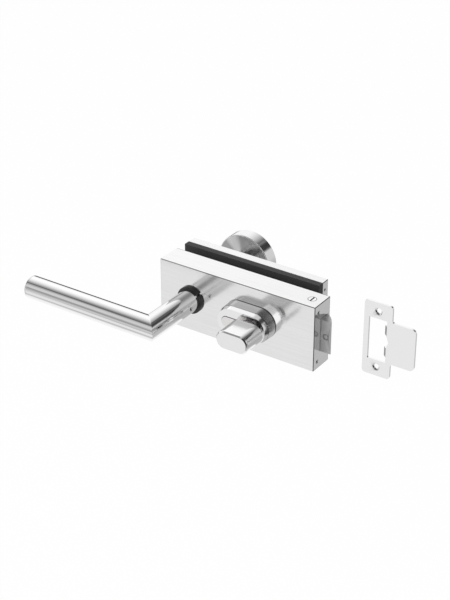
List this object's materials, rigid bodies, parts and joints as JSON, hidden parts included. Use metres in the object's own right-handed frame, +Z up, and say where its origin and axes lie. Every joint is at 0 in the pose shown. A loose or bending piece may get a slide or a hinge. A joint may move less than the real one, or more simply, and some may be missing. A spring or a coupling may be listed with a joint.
{
  "type": "glass door lock",
  "caption": "Patch-style lock for a frameless glass door with a mitred lever handle, a latch, an oval turn knob, a fixed outside knob and a loose strike plate.",
  "frame": {"origin": "on the lever's axis, on the gasket face of the lock case that the glass rests against, at half the case's height", "axes": "+X along the case towards the latch, +Y from the room side through the glass to the outside, +Z up"},
  "size_m": [0.3399, 0.1703, 0.0712],
  "materials": {
    "steel_brushed": "brushed along the length",
    "steel_satin": "satin, turned or ground",
    "latch_metal": "matte grey, sintered",
    "zinc_plated": "zinc plated steel",
    "spring_steel": "bright wire",
    "brass": "turned, nickel plated at the face",
    "cylinder_nickel": "matte nickel",
    "rubber_black": "matte",
    "plastic_black": "matte",
    "plastic_white": "matte"
  },
  "bodies": {
    "lock_case": {"case_cover": "steel_brushed", "base_plate": "zinc_plated", "case_gasket": "rubber_black", "lever_bush": "plastic_black", "end_screws": "zinc_plated", "top_screw": "zinc_plated", "latch_guide": "zinc_plated", "clamp_screws": "zinc_plated", "screw_sleeves": "plastic_white", "pad": "rubber_black", "clamp_plate": "zinc_plated", "back_cover": "steel_brushed", "back_cover_screws": "zinc_plated", "latch_spring": "spring_steel", "return_spring": "spring_steel", "inside_collar": "steel_brushed", "outside_collar": "steel_brushed", "cylinder_body": "cylinder_nickel", "cylinder_screw": "zinc_plated", "outer_plug": "brass", "outside_disc": "steel_satin", "outside_neck": "steel_satin", "outside_bolt": "zinc_plated", "strike_plate": "steel_brushed"},
    "lever": {"grip_tube": "steel_satin", "grip_cap": "steel_satin", "neck_tube": "steel_satin", "neck_plug": "zinc_plated", "lever_grub_screw": "zinc_plated", "neck_circlip": "zinc_plated", "spindle": "zinc_plated", "follower": "zinc_plated"},
    "latch": {"latch_bolt": "latch_metal", "latch_tail": "zinc_plated", "latch_rivet": "zinc_plated", "latch_rod": "zinc_plated", "latch_screw": "zinc_plated"},
    "turn_knob": {"turn_grip": "steel_satin", "turn_shaft": "brass", "turn_pin": "zinc_plated", "cylinder_cam": "brass"},
    "locking_slide": {"lock_slide": "zinc_plated"},
    "locking_block": {"blocker": "zinc_plated", "blocker_pin": "zinc_plated"}
  },
  "joints": [
    {"name": "lever_turn", "type": "hinge", "parent": "lock_case", "child": "lever", "pos_m": [0, 0, 0], "axis": [0, -1, 0], "range_deg": [0, 40], "stiffness_Nm_per_rad": 1, "springref_deg": -28.65, "deforming": ["return_spring"]},
    {"name": "latch_slide", "type": "slide", "parent": "lock_case", "child": "latch", "axis": [-1, 0, 0], "range_m": [0, 0.0101], "deforming": ["latch_spring"]},
    {"name": "knob_turn", "type": "hinge", "parent": "lock_case", "child": "turn_knob", "pos_m": [0.072, 0, 0], "axis": [0, 1, 0], "range_deg": [0, 90]},
    {"name": "locking_slide_move", "type": "slide", "parent": "lock_case", "child": "locking_slide", "axis": [1, 0, 0], "range_m": [0, 0.0211]},
    {"name": "locking_block_drop", "type": "slide", "parent": "lock_case", "child": "locking_block", "axis": [0, 0, -1], "range_m": [0, 0.0031]}
  ],
  "couplings": [
    {"joint": "latch_slide", "follows": "lever_turn", "m_per_rad": 0.014324},
    {"joint": "locking_slide_move", "follows": "knob_turn", "m_per_rad": 0.013369},
    {"joint": "locking_block_drop", "follows": "knob_turn", "m_per_rad": 0.0019099}
  ]
}
